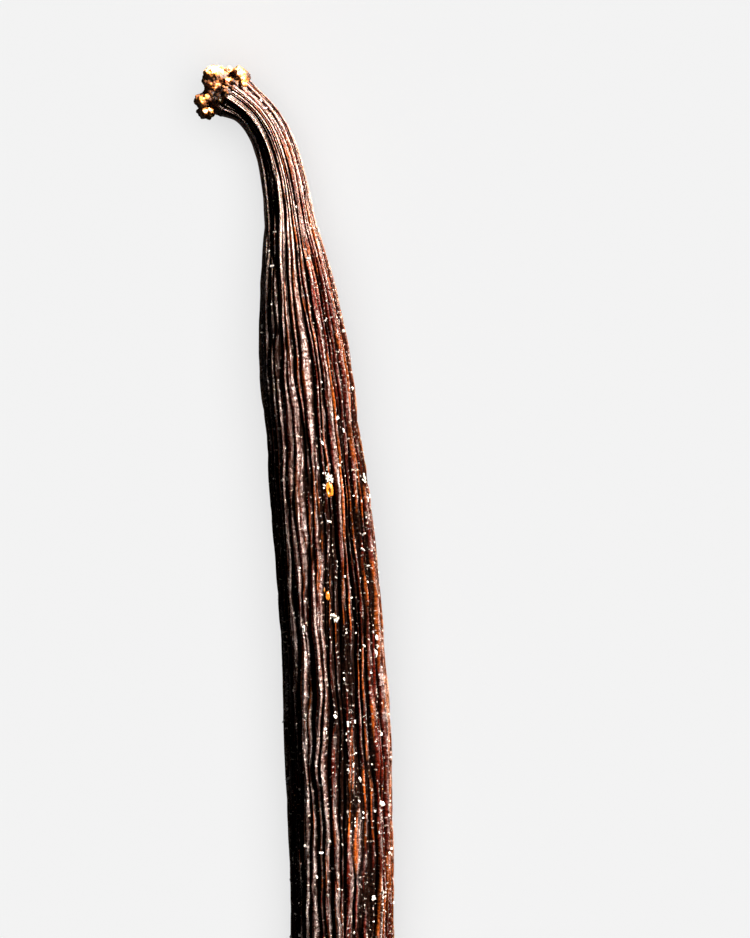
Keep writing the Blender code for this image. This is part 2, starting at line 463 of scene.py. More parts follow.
def find_input(node, key):
    """An enabled input by its name, with _ for a space, or by a number after input_."""
    if key.startswith("input_"):
        return node.inputs[int(key[6:])]
    name = key.replace("_", " ")
    return next(socket for socket in node.inputs if socket.name == name and socket.enabled)


def math_node(tree, operation, first, second, third=0.0):
    settings = {"operation": operation}
    inputs = {"input_0": first, "input_1": second, "input_2": third}
    return add_node(tree, "ShaderNodeMath", settings, **inputs).outputs[0]


def times(tree, first, second):
    return math_node(tree, "MULTIPLY", first, second)


def plus(tree, first, second):
    return math_node(tree, "ADD", first, second)


def ramp(tree, factor, *stops):
    """A colour ramp with stops of (place, colour)."""
    node = add_node(tree, "ShaderNodeValToRGB", Fac=factor)
    elements = node.color_ramp.elements
    while len(elements) < len(stops):
        elements.new(1.0)
    for element, (place, colour) in zip(elements, stops):
        element.position = place
        element.color = (*colour[:3], 1.0)
    return node.outputs["Color"]


def fade(tree, value, start, end):
    """0 up to start, 1 past end, smooth between."""
    node = add_node(
        tree,
        "ShaderNodeMapRange",
        {"interpolation_type": "SMOOTHSTEP"},
        Value=value,
        From_Min=start,
        From_Max=end,
    )
    return node.outputs["Result"]


def mix_colour(tree, factor, first, second, blend="MIX"):
    node = tree.nodes.new("ShaderNodeMix")
    node.data_type = "RGBA"
    node.blend_type = blend
    for socket, value in zip((node.inputs[0], node.inputs[6], node.inputs[7]),
                             (factor, first, second)):
        if isinstance(value, bpy.types.NodeSocket):
            tree.links.new(value, socket)
        elif socket == node.inputs[0]:
            socket.default_value = value
        else:
            socket.default_value = (*value[:3], 1.0)
    return node.outputs[2]


def noise_node(tree, vector, scale, detail=3.0, roughness=0.55, distortion=0.0):
    node = add_node(
        tree,
        "ShaderNodeTexNoise",
        Vector=vector,
        Scale=scale,
        Detail=detail,
        Roughness=roughness,
        Distortion=distortion,
    )
    return node.outputs[0]


def add_bumps(tree, height, distance, strength, **inputs):
    inputs.update(Height=height, Distance=distance, Strength=strength)
    return add_node(tree, "ShaderNodeBump", **inputs).outputs["Normal"]


def set_subsurface(shader, weight, radius, scale):
    """How much light goes under the surface, and how far in red, green and blue."""
    shader.inputs["Subsurface Weight"].default_value = weight
    shader.inputs["Subsurface Radius"].default_value = radius
    shader.inputs["Subsurface Scale"].default_value = scale


def scaled(tree, vector, scale):
    node = add_node(tree, "ShaderNodeMapping", Vector=vector, Scale=scale)
    return node.outputs["Vector"]


def colour_setting(name, default, description):
    return FloatVectorProperty(
        name=name, description=description, subtype="COLOR", size=3, min=0, max=1,
        default=default,
    )


def length_setting(name, default, description):
    return FloatProperty(
        name=name, description=description, default=default, min=0, unit="LENGTH", precision=5
    )


def amount_setting(name, default, description):
    return FloatProperty(
        name=name, description=description, default=default, min=0, max=10, subtype="FACTOR"
    )


# ---------------------------------------------------------------- skin


class SkinLook(PropertyGroup):
    """Sizes and colours of the skin."""

    columns_per_fold: IntProperty(
        name="Columns per fold", description="Mesh columns from furrow to furrow",
        default=20, min=4, max=30,
    )
    columns_below: IntProperty(
        name="Columns below", description="Mesh columns of a fold on the underside",
        default=10, min=4, max=30,
    )
    ring_gap: length_setting("Ring gap", 0.00041, "Gap between rings in the stalk's half")
    far_ring_gap: length_setting("Far ring gap", 0.0012, "Gap between rings in the tip's half")
    furrow_depth: amount_setting("Furrow depth", 0.155, "Depth of the furrows, of the half width")
    crease_depth: amount_setting("Crease depth", 0.85, "Depth of the creases within a fold")
    wrinkle_depth: length_setting("Wrinkle depth", 0.00017, "Depth of the fine wrinkles")
    # Painted shade: near black deep in the furrows, where the folds' shadows fall.
    furrow_shade_colour: colour_setting("Furrows", (0.003, 0.0012, 0.0008), "Deep in the furrows")
    ridge_colour: colour_setting("Ridges", (0.055, 0.023, 0.017), "On top of the folds")
    low_ridge_colour: colour_setting("Low ridges", (0.034, 0.018, 0.0145), "The same, lower down")
    # Painted glow, red along most edges and orange along the brightest: light through the thin
    # crests, on each fold's shadow side.
    red_glow_colour: colour_setting("Red edges", (0.16, 0.012, 0.004), "Along most thin edges")
    orange_glow_colour: colour_setting("Orange edges", (0.60, 0.12, 0.012), "Along the brightest edges")
    # Painted shade: the ridges darken on folds towards the pod's two sides.
    side_shade_colour: colour_setting("Sides", (0.019, 0.0105, 0.0085), "On folds away from the top")
    # Painted glow: orange on the fold tops at the pod's two outermost sides, standing in for light on
    # the rim.
    flank_glow_colour: colour_setting("Flanks", (0.10, 0.036, 0.003), "On the pod's two edges")
    dust_colour: colour_setting("Dust", (0.30, 0.25, 0.22), "Colour of the finest frost")
    # Painted highlight: pale fold tops at the neck, standing in for the key light's strong sheen
    # there.
    neck_highlight_colour: colour_setting("Neck", (0.34, 0.25, 0.21), "On top of the folds at the neck")


def skin_mesh(look):
    """The skin: a grid rolled round the spine and welded along its seam, with closed ends."""
    shares = ring_shares(look)
    columns = column_places(look)
    count = len(columns)
    mesh = bmesh.new()
    bmesh.ops.create_grid(mesh, x_segments=count, y_segments=len(shares) - 1, size=1.0)
    roll = mesh.loops.layers.uv.new("SkinRoll")
    bake = mesh.loops.layers.uv.new("OFBake")
    relief = mesh.verts.layers.float.new("relief")
    edge = mesh.verts.layers.float.new("edge")
    flank = mesh.verts.layers.float.new("flank")
    sections = [Section(share, look) for share in shares]
    rings = [[section.point(*place) for place in columns] for section in sections]
    move = into_frame()
    for vert in mesh.verts:
        column = round((vert.co.x + 1) / 2 * count)
        ring = round((vert.co.y + 1) / 2 * (len(shares) - 1))
        fold, across = columns[column % count]
        round_share = 1.0 if column == count else (fold + across) / FOLDS
        for loop in vert.link_loops:
            loop[roll].uv = (round_share, shares[ring])
            loop[bake].uv = [
                margin + (1 - 2 * margin) * at
                for margin, at in zip(SKIN_MARGIN, (round_share, shares[ring]))
            ]
        place, height = rings[ring][column % count]
        fall = rings[ring][column - 1][1] - rings[ring][(column + 1) % count][1]
        vert.co = place + move
        vert[relief] = height
        at_flank = sections[ring].flank(fold, across)
        # The glow edge: a band on each fold's shadow side, where the relief falls away across it, for
        # the painted glow of light through the thin crest; little of it on the outer sides.
        near_glow_edge = clamp(1.4 - abs(height - GLOW_EDGE_HEIGHT) / GLOW_EDGE_REACH)
        vert[edge] = clamp(fall * GLOW_EDGE_GAIN) * near_glow_edge * (1 - (1 - GLOW_EDGE_ON_FLANK) * at_flank**1.5)
        vert[flank] = at_flank
    bmesh.ops.remove_doubles(mesh, verts=mesh.verts, dist=0.000001)
    for ring, steps in ((0, RIM_STEPS), (len(shares) - 1, TIP_STEPS)):
        close_end(mesh, sections[ring], steps, move, sign=1 if ring == 0 else -1)
    bmesh.ops.recalc_face_normals(mesh, faces=mesh.faces)
    return mesh


def close_end(mesh, section, steps, move, sign):
    """Draws one open end inwards ring by ring, each (share of its radius, depth in radii)."""
    centre = section.centre + move + Vector((0, 0, section.rise))
    out = Vector((math.cos(section.angle), math.sin(section.angle), 0)) * sign
    rims = [e for e in mesh.edges if e.is_boundary]
    edges = [e for e in rims if (e.verts[0].co - centre).length < 2 * section.half_width]
    verts = {v for e in edges for v in e.verts}
    offsets = {v: v.co - centre for v in verts}
    for shrink, reach in steps:
        made = bmesh.ops.extrude_edge_only(mesh, edges=edges)["geom"]
        edges = [g for g in made if isinstance(g, bmesh.types.BMEdge) and g.is_boundary]
        ring = [g for g in made if isinstance(g, bmesh.types.BMVert)]
        before = {round_key(v.co): offset for v, offset in offsets.items()}
        offsets = {v: before[round_key(v.co)] for v in ring}
        for vert, offset in offsets.items():
            rough = 1 + 0.25 * noise.noise(vert.co * 2600)
            vert.co = centre + offset * shrink + out * reach * section.half_width * rough
    bmesh.ops.holes_fill(mesh, edges=edges)


def round_key(place):
    return tuple(round(value, 9) for value in place)


def plain_material(name, colour, roughness):
    """A material of one colour, and its shader."""
    material, _, shader = new_material(name)
    shader.inputs["Base Color"].default_value = (*colour, 1.0)
    shader.inputs["Roughness"].default_value = roughness
    return material, shader


def attribute(tree, name):
    return add_node(tree, "ShaderNodeAttribute", {"attribute_name": name}).outputs["Fac"]


def skin_patterns(tree):
    """The skin's attributes and noises by name. The noises run in folds and millimetres."""
    roll = add_node(tree, "ShaderNodeUVMap", {"uv_map": "SkinRoll"}).outputs["UV"]
    skin = scaled(tree, roll, (FOLDS, LENGTH / MM, 1.0))
    stretched = scaled(tree, skin, (1.0, 0.12, 1.0))
    along = add_node(tree, "ShaderNodeSeparateXYZ", Vector=roll).outputs["Y"]
    breaks = noise_node(tree, scaled(tree, skin, (1.0, 0.30, 1.0)), 1.5, detail=3.0)
    return SimpleNamespace(
        relief=attribute(tree, "relief"),
        edge=attribute(tree, "edge"),
        flank=attribute(tree, "flank"),
        fibres=noise_node(tree, stretched, 3.4, detail=6.0, roughness=0.65, distortion=0.2),
        mottle=noise_node(tree, skin, 2.2, detail=7.0, roughness=0.68),
        speckle=noise_node(
            tree, scaled(tree, skin, (1.0, 0.8, 1.0)), 5.0, detail=5.0, roughness=0.65
        ),
        runs=noise_node(tree, stretched, 1.1, detail=2.0),
        grains=noise_node(tree, scaled(tree, skin, (1.0, 0.7, 1.0)), 5.2, detail=1.5),
        unbroken=fade(tree, breaks, 0.38, 0.60),
        neck=fade(tree, along, NECK_END, NECK_END * 0.3),
        lower=fade(tree, along, *LOWER_BODY),
    )


def skin_base(tree, look, marks, high, aside, on_top):
    """The skin's base colour: painted shade in the furrows and on the sides, ridges, a painted
    highlight on the neck's fold tops, a painted orange glow at the outer sides, a painted red and
    orange glow along the folds' shadow-side edges, speckle and dust.
    """
    ridge = mix_colour(tree, marks.lower, look.ridge_colour, look.low_ridge_colour)
    # Painted shade: ridges darker on the folds towards the sides.
    ridge = mix_colour(tree, aside, ridge, look.side_shade_colour)
    # Painted shade: the furrows near black below the fold tops.
    base = mix_colour(tree, on_top, look.furrow_shade_colour, ridge)
    # Painted highlight: pale fold tops at the neck.
    base = mix_colour(tree, times(tree, marks.neck, on_top), base, look.neck_highlight_colour)
    # Painted glow: orange on the fold tops at the two outermost sides, less at the neck and lower
    # body.
    elsewhere = math_node(tree, "MAXIMUM", marks.neck, times(tree, marks.lower, 0.4))
    flank_glow = times(tree, fade(tree, marks.flank, 0.93, 0.985), fade(tree, marks.fibres, 0.42, 0.54))
    flank_glow = times(tree, flank_glow, on_top)
    flank_glow = times(tree, flank_glow, math_node(tree, "SUBTRACT", 1.0, elsewhere))
    base = mix_colour(tree, flank_glow, base, look.flank_glow_colour)
    # Painted glow: red to orange along the folds' shadow-side edges, standing in for light through
    # the thin crests.
    orange = fade(tree, marks.runs, 0.48, 0.58)
    glow_hue = mix_colour(tree, orange, look.red_glow_colour, look.orange_glow_colour)
    base = mix_colour(tree, marks.edge, base, glow_hue)
    darker = ramp(tree, marks.speckle, (0.38, (0.20, 0.16, 0.14)), (0.60, (1.0, 1.0, 1.0)))
    base = mix_colour(tree, 1.0, base, darker, "MULTIPLY")
    dust = times(tree, fade(tree, marks.grains, 0.62, 0.72), fade(tree, high, 0.3, 0.9))
    return mix_colour(tree, times(tree, dust, 0.8), base, look.dust_colour)


def skin_sheen(tree, marks, on_top):
    """How strongly the skin shines: on the folds, in lines and patches, less on the painted glow
    edges.
    """
    sheen = times(tree, on_top, fade(tree, marks.speckle, 0.38, 0.57))
    lined = fade(tree, marks.fibres, 0.40, 0.52)
    sheen = times(tree, sheen, math_node(tree, "MULTIPLY_ADD", lined, 0.75, 0.25))
    sheen = times(tree, sheen, math_node(tree, "MULTIPLY_ADD", marks.unbroken, 0.65, 0.30))
    return times(tree, sheen, math_node(tree, "MULTIPLY_ADD", marks.edge, -0.85, 1.0))


def skin_material(look):
    """Oily, black-brown skin: a mottled sheen on the folds, a painted red and orange glow on thin
    edges, painted shade in the furrows and on the sides, and a painted highlight at the neck.
    """
    material, tree, shader = new_material("cured_skin")
    marks = skin_patterns(tree)
    high = plus(tree, marks.relief, times(tree, marks.fibres, 0.5))
    # Painted shade: aside darkens the ridges on the pod's sides and lets the furrows reach higher
    # there, less at the neck.
    off_neck = math_node(tree, "SUBTRACT", SIDE_SHADE_STRENGTH, times(tree, marks.neck, SIDE_SHADE_STRENGTH))
    aside = times(tree, fade(tree, marks.flank, 0.35, 0.85), off_neck)
    # on_top: where the ridge colours show; below it the furrows take their painted shade, reaching
    # higher on the sides.
    on_top = math_node(tree, "SUBTRACT", high, times(tree, aside, 0.13))
    on_top = plus(tree, on_top, times(tree, marks.unbroken, 0.14))
    on_top = fade(tree, on_top, 0.74, 1.20)
    dull = math_node(tree, "MULTIPLY_ADD", marks.mottle, 0.4, 0.10)
    base = skin_base(tree, look, marks, high, aside, on_top)
    tree.links.new(base, shader.inputs["Base Color"])
    tree.links.new(dull, shader.inputs["Roughness"])
    tree.links.new(skin_sheen(tree, marks, on_top), shader.inputs["Specular IOR Level"])
    shader.inputs["Specular Tint"].default_value = (1.0, 0.91, 0.87, 1.0)
    shader.inputs["IOR"].default_value = 1.6
    set_subsurface(shader, 0.3, (1.0, 0.30, 0.10), 0.0001)
    lines = add_bumps(tree, marks.fibres, 0.00016, 1.0)
    rough = plus(tree, marks.mottle, times(tree, marks.speckle, 0.8))
    bumps = add_bumps(tree, rough, 0.00015, 1.0, Normal=lines)
    tree.links.new(bumps, shader.inputs["Normal"])
    return material


class VANILLA_OT_skin(Operator):
    """Build the pod's folded skin"""

    bl_idname = "vanilla.skin"
    bl_label = "Skin"

    def execute(self, context):
        look = context.scene.vanilla_skin
        skin = new_object("pod_skin", skin_mesh(look), skin_material(look))
        skin.data.shade_smooth()
        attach(skin, "root")
        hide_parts("pod")
        return {"FINISHED"}


# ---------------------------------------------------------------- crust


class CrustLook(PropertyGroup):
    """The dried, torn tissue at the stalk end."""

    voxel: length_setting("Voxel", 0.00005, "Size of the cells that melt the lumps together")
    swelling: length_setting("Swelling", 0.00020, "Depth of the uneven swelling of the lumps")
    grain: length_setting("Grain", 0.00028, "Size of the grains on the lumps")
    grain_depth: length_setting("Grain depth", 0.00013, "How far the grains stand out")
    # Painted shade: the darkest colour, reached in the crust's hollows and cracks and in dark random
    # patches.
    dark_colour: colour_setting("Hollows", (0.012, 0.004, 0.002), "Colour in the hollows")
    rust_colour: colour_setting("Rust", (0.13, 0.038, 0.007), "Colour of the slopes")
    gold_colour: colour_setting("Gold", (0.42, 0.165, 0.028), "Colour of the dry lumps")
    cream_colour: colour_setting("Cream", (0.80, 0.60, 0.40), "Colour of the driest grains")


def place_lump(number, verts, section, move):
    """Presses a ball to a lump's size, roughens it and puts it on the stalk end."""
    out, across, up, long, wide, high = LUMPS[number]
    for vert in verts:
        swell = noise.noise(vert.co * (0.001 / LUMP_GRAIN) + Vector((number * 9.7, 0, 0)))
        vert.co *= 1 + LUMP_ROUGHNESS * 2 * swell
    turn = Euler((0, 0, section.angle)).to_matrix()
    centre = crust_place(section, move, out, across, up)
    for vert in verts:
        vert.co = centre + turn @ Vector((vert.co.x * long, vert.co.y * wide, vert.co.z * high))


def melted(name, mesh, voxel, material):
    """A piece made from a bmesh of overlapping shapes, melted into one closed surface."""
    rough = new_object(name + "_rough", mesh, material)
    remesh = rough.modifiers.new("melt", "REMESH")
    remesh.mode = "VOXEL"
    remesh.voxel_size = voxel
    graph = bpy.context.evaluated_depsgraph_get()
    data = bpy.data.meshes.new_from_object(rough.evaluated_get(graph))
    bpy.data.objects.remove(rough)
    return link_object(name, data, material)


def crust_place(section, move, out, across, up):
    """A place on the stalk end, out along the stalk, across it and up from its middle."""
    outwards = Vector((math.cos(section.angle), math.sin(section.angle), 0))
    place = section.centre + move + Vector((0, 0, section.rise + up))
    return place + outwards * out - section.side * across


def add_grain(mesh, section, move, grain):
    out, across, up, long, wide = grain
    turn = Euler((0, 0, section.angle)).to_matrix()
    centre = crust_place(section, move, out, across, up)
    for vert in bmesh.ops.create_icosphere(mesh, subdivisions=3, radius=1.0)["verts"]:
        vert.co = centre + turn @ Vector((vert.co.x * long, vert.co.y * wide, vert.co.z * wide))


def roughen_crust(data, look, section, move):
    """Swells and pits the crust, and keeps how pale and how high each point is."""
    mesh = bmesh.new()
    mesh.from_mesh(data)
    mesh.normal_update()
    pale = mesh.verts.layers.float.new("pale")
    high = mesh.verts.layers.float.new("high")
    places = [
        (crust_place(section, move, out, across, 0), reach, paleness)
        for out, across, reach, paleness in PALE_PLACES
    ]
    moves = []
    for vert in mesh.verts:
        at = vert.co
        swell = noise.fractal(at / (look.grain * 2.2), 0.9, 2.1, 3)
        cell = noise.voronoi(at / look.grain)[0]
        grain = 0.55 - cell[0]
        crack = clamp((cell[1] - cell[0]) * 4)
        vert[pale] = max(
            paleness * math.exp(-((at - place).xy.length / reach) ** 2)
            for place, reach, paleness in places
        )
        # How high and how far from a crack each point is: the material darkens the low and cracked
        # places with painted shade.
        vert[high] = clamp(0.5 + 0.5 * swell + 0.5 * grain) * (0.4 + 0.6 * crack)
        moves.append(look.swelling * swell * 0.6 + look.grain_depth * grain)
    for vert, shift in zip(mesh.verts, moves):
        vert.co += vert.normal * shift
    mesh.to_mesh(data)
    mesh.free()


def crust_piece(look):
    section = Section(0.0, bpy.context.scene.vanilla_skin)
    move = into_frame()
    mesh = bmesh.new()
    for number in range(len(LUMPS)):
        ball = bmesh.ops.create_icosphere(mesh, subdivisions=4, radius=1.0)["verts"]
        place_lump(number, ball, section, move)
    for grain in GRAINS:
        add_grain(mesh, section, move, grain)
    add_rim_fibres(mesh, section, move)
    crust = melted("stalk_crust", mesh, look.voxel, crust_material(look))
    roughen_crust(crust.data, look, section, move)
    return crust


def add_rim_fibres(mesh, section, move):
    """Short frayed strands that stand out from the rim of the torn end."""
    chance = random.Random(41)
    outwards = Vector((math.cos(section.angle), math.sin(section.angle), 0))
    for _ in range(FIBRE_COUNT):
        fold = chance.uniform(0, FOLDS)
        base = section.point(int(fold) % FOLDS, fold % 1)[0] + move
        away = section.outward(int(fold) % FOLDS, fold % 1)
        lean = (outwards + away * chance.uniform(-0.5, 0.35)).normalized()
        long = chance.uniform(0.4, 1.0) * MM
        strand = bmesh.ops.create_cone(
            mesh, segments=7, cap_ends=True, radius1=0.00016, radius2=0.00007, depth=long
        )["verts"]
        turn = lean.to_track_quat("Z", "Y").to_matrix()
        for vert in strand:
            bend = chance.uniform(-0.04, 0.04) * MM
            vert.co = base + turn @ (vert.co + Vector((bend, bend, long * 0.35)))


def crust_material(look):
    """Dry, granular tissue: rust and gold on its lumps, darker in random patches, with painted shade
    in its hollows and cracks.
    """
    material, tree, shader = new_material("dried_stalk")
    place = add_node(tree, "ShaderNodeTexCoord").outputs["Object"]
    pale = attribute(tree, "pale")
    high = attribute(tree, "high")
    patches = noise_node(tree, place, 1900.0, detail=5.0, roughness=0.65)
    grain = noise_node(tree, place, 9000.0, detail=3.0)
    # The high attribute darkens the hollows and cracks with painted shade.
    tone = plus(tree, times(tree, high, 0.45), times(tree, pale, 0.80))
    tone = plus(tree, tone, times(tree, patches, 0.65))
    tone = plus(tree, tone, times(tree, grain, 0.5))
    tone = math_node(tree, "SUBTRACT", tone, 0.68)
    base = ramp(
        tree, tone,
        (0.10, look.dark_colour), (0.34, look.rust_colour), (0.62, look.gold_colour),
        (0.90, look.cream_colour),
    )
    tree.links.new(base, shader.inputs["Base Color"])
    shader.inputs["Roughness"].default_value = 0.55
    shader.inputs["Specular IOR Level"].default_value = 0.25
    set_subsurface(shader, 0.5, (1.0, 0.45, 0.15), 0.00015)
    tree.links.new(add_bumps(tree, grain, 0.00004, 0.8), shader.inputs["Normal"])
    return material


class VANILLA_OT_crust(Operator):
    """Build the torn, dried tissue of the stalk end"""

    bl_idname = "vanilla.crust"
    bl_label = "Stalk Crust"

    def execute(self, context):
        crust = crust_piece(context.scene.vanilla_crust)
        crust.data.shade_smooth()
        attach(crust, "root")
        return {"FINISHED"}


# ---------------------------------------------------------------- frost


class FrostLook(PropertyGroup):
    """The crystals that bloom on the skin."""

    crystals: IntProperty(
        name="Crystals", description="Number of blocky crystals", default=2600, min=0
    )
    needles: IntProperty(name="Needles", description="Number of needles", default=220, min=0)
    specks: IntProperty(name="Specks", description="Number of golden specks", default=130, min=0)
    crystal_size: length_setting("Crystal size", 0.00012, "Length of a middling crystal")
    crystal_colour: colour_setting("Crystals", (0.50, 0.47, 0.43), "Colour of the crystals")
    dull_colour: colour_setting("Dull crystals", (0.05, 0.035, 0.025), "Colour of the dullest")
    speck_colour: colour_setting("Specks", (0.30, 0.15, 0.03), "Colour of the golden specks")


def surface_spot(share, fold_place, look):
    """A spot on the skin: its place, its way out and the way along the pod."""
    section = Section(share, look)
    fold, across = int(fold_place) % FOLDS, fold_place % 1
    place = section.point(fold, across)[0] + into_frame()
    along = Vector((math.cos(section.angle), math.sin(section.angle), 0))
    return place, section.outward(fold, across), along


def random_spot(chance, look):
    """A random spot. The frost is thin at the neck and thickest past a third of the length."""
    while True:
        share = chance.uniform(0.01, 0.985)
        wanted = curve_through(FROST_AMOUNTS, share)
        if chance.random() < wanted:
            return surface_spot(share, chance.uniform(0, FOLDS), look)


def set_down(verts, size, spot, chance, sink=0.25):
    """Sizes a unit shape, turns it at random about the way out, and sits it on its spot."""
    place, out, along = spot
    spin = Euler((chance.gauss(0, 0.3), chance.gauss(0, 0.3), chance.uniform(0, math.tau)))
    axis = out.cross(along).normalized()
    turn = Matrix((axis.cross(out), axis, out)).transposed()
    lift = out * size.z * (0.5 - sink)
    for vert in verts:
        local = Vector((vert.co.x * size.x, vert.co.y * size.y, vert.co.z * size.z))
        vert.co = place + lift + turn @ (spin.to_matrix() @ local)
        vert.co.z = max(vert.co.z, 0.0)


def add_crystal(mesh, spot, size, chance):
    """An angular chip: a cube with its corners knocked about."""
    block = bmesh.ops.create_cube(mesh, size=1.0)["verts"]
    for vert in block:
        vert.co += Vector([chance.uniform(-0.22, 0.22) for _ in range(3)])
    long = size * chance.uniform(0.75, 1.5)
    sizes = Vector((long, size * chance.uniform(0.45, 0.85), size * chance.uniform(0.3, 0.6)))
    set_down(block, sizes, spot, chance)
    return block


def add_needle(mesh, spot, size, chance):
    rod = bmesh.ops.create_cone(
        mesh, segments=4, cap_ends=True, radius1=0.5, radius2=0.35, depth=1.0
    )["verts"]
    for vert in rod:
        vert.co = Vector((vert.co.z, vert.co.x, vert.co.y))
    thin = size * chance.uniform(0.12, 0.2)
    set_down(rod, Vector((size * chance.uniform(1.4, 3.0), thin, thin)), spot, chance, sink=-0.3)
    return rod


def add_speck(mesh, spot, size, chance):
    grain = bmesh.ops.create_icosphere(mesh, subdivisions=1, radius=0.5)["verts"]
    for vert in grain:
        vert.co *= chance.uniform(0.75, 1.25)
    sizes = Vector([size * chance.uniform(0.4, 0.85) for _ in range(3)])
    set_down(grain, sizes, spot, chance)
    return grain


def scatter(name, count, add, size, seed, material):
    """One piece of many small things, each of its own size, on random spots of the skin."""
    chance = random.Random(seed)
    look = bpy.context.scene.vanilla_skin
    mesh = bmesh.new()
    tone = mesh.verts.layers.float.new("tone")
    made = 0
    while made < count:
        place, out, along = random_spot(chance, look)
        together = 1 + int(chance.random() ** 6 * 5)
        for _ in range(together):
            near = along * chance.gauss(0, 0.3 * MM) * (together > 1)
            lifted = size * chance.lognormvariate(-0.05, 0.55) * together**-0.3
            shade = 1 - chance.random() ** 2 * 0.8
            for vert in add(mesh, (place + near, out, along), lifted, chance):
                vert[tone] = shade
            made += 1
    return new_object(name, mesh, material)


def crystal_material(name, look, base, glow):
    """Cloudy crystal: pale, a little see-through, with small bright faces."""
    material, tree, shader = new_material(name)
    place = add_node(tree, "ShaderNodeTexCoord").outputs["Object"]
    cloud = noise_node(tree, place, 5200.0, detail=3.0)
    dim = [value * glow for value in base]
    clear = mix_colour(tree, fade(tree, cloud, 0.35, 0.65), dim, base)
    clear = mix_colour(tree, attribute(tree, "tone"), look.dull_colour, clear)
    tree.links.new(clear, shader.inputs["Base Color"])
    tree.links.new(ramp(tree, cloud, (0.3, (0.18,) * 3), (0.7, (0.45,) * 3)),
                   shader.inputs["Roughness"])
    set_subsurface(shader, 0.4, (1.0, 0.8, 0.6), 0.0001)
    return material


class VANILLA_OT_frost(Operator):
    """Scatter the crystals, needles and golden specks"""

    bl_idname = "vanilla.frost"
    bl_label = "Frost"

    def execute(self, context):
        look = context.scene.vanilla_frost
        white = crystal_material("frost_crystal", look, look.crystal_colour, 0.75)
        gold = crystal_material("golden_speck", look, look.speck_colour, 0.5)
        size = look.crystal_size
        kinds = (
            ("frost_crystals", look.crystals, add_crystal, size, 11, white),
            ("frost_needles", look.needles, add_needle, size, 12, white),
            ("golden_specks", look.specks, add_speck, size * 0.7, 13, gold),
        )
        for kind in kinds:
            piece = scatter(*kind)
            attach(piece, "root")
        return {"FINISHED"}


# ---------------------------------------------------------------- resin


class ResinLook(PropertyGroup):
    """The dried drops of resin and the larger pale clumps."""

    amber_colour: colour_setting("Amber", (0.20, 0.065, 0.006), "Colour of the resin")
    clump_colour: colour_setting("Clumps", (0.30, 0.27, 0.22), "Colour of the pale clumps")
    chip: length_setting("Chip", 0.00017, "Length of a clump's chips")


def top_spot(x, y):
    """The spot on the top of the skin at a place in the frame."""
    look = bpy.context.scene.vanilla_skin
    shares = [step / 400 for step in range(401)]
    move = into_frame()
    share = min(shares, key=lambda at: (spine_place(at) + move.xy - Vector((x, y))).length)
    section = Section(share, look)
    tries = [step * 0.1 for step in range(LAST_TOP_FOLD * 10)]

    def aside(fold_place):
        place = section.point(int(fold_place), fold_place % 1)[0] + move
        return abs((place - Vector((x, y, place.z))).dot(section.side))

    fold_place = min(tries, key=aside)
    place, out, along = surface_spot(share, fold_place, look)
    return Vector((x, y, place.z)), out, along


def add_drop(mesh, drop):
    """A flattened drop with a pit in it, lying along the pod."""
    x, y, long, wide, pit = drop
    place, out, along = top_spot(x, y)
    turn = Matrix((along, out.cross(along), out)).transposed()
    for vert in bmesh.ops.create_icosphere(mesh, subdivisions=4, radius=1.0)["verts"]:
        across = Vector((vert.co.x + 0.15, vert.co.y - 0.1)).length / 0.36
        dip = pit * math.exp(-(across**4)) if vert.co.z > 0 else 0.0
        ripple = 1 + 0.16 * noise.noise(vert.co * 2.1 + Vector((x, y, 0)) * 1000)
        local = Vector((vert.co.x * long, vert.co.y * wide, (vert.co.z * 0.55 - dip) * wide))
        vert.co = place + turn @ (local * ripple / 2) + out * wide * 0.12


def add_clump(mesh, clump, chip, chance):
    """A heap of small chips."""
    x, y, long, wide, turned, count = clump
    place, out, along = top_spot(x, y)
    aside = out.cross(along)
    lie = along * math.cos(turned) + aside * math.sin(turned)
    over = out.cross(lie)
    for _ in range(count):
        spot = place + lie * chance.gauss(0, long / 4) + over * chance.gauss(0, wide / 4)
        spot += out * chance.uniform(0, 0.4) * wide
        add_crystal(mesh, (spot, out, along), chip * chance.uniform(0.6, 1.1), chance)


class VANILLA_OT_resin(Operator):
    """Add the drops of resin and the pale clumps"""

    bl_idname = "vanilla.resin"
    bl_label = "Resin"

    def execute(self, context):
        look = context.scene.vanilla_resin
        drops = bmesh.new()
        for drop in AMBER_DROPS:
            add_drop(drops, drop)
        amber, shader = plain_material("amber_resin", look.amber_colour, 0.18)
        set_subsurface(shader, 0.7, (1.0, 0.4, 0.05), 0.0003)
        resin = new_object("amber_drops", drops, amber)
        resin.data.shade_smooth()
        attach(resin, "root")

        chance = random.Random(23)
        heaps = bmesh.new()
        for clump in PALE_CLUMPS:
            add_clump(heaps, clump, look.chip, chance)
        pale, _ = plain_material("pale_clump", look.clump_colour, 0.5)
        clumps = new_object("pale_clumps", heaps, pale)
        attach(clumps, "root")
        return {"FINISHED"}


# ---------------------------------------------------------------- stage


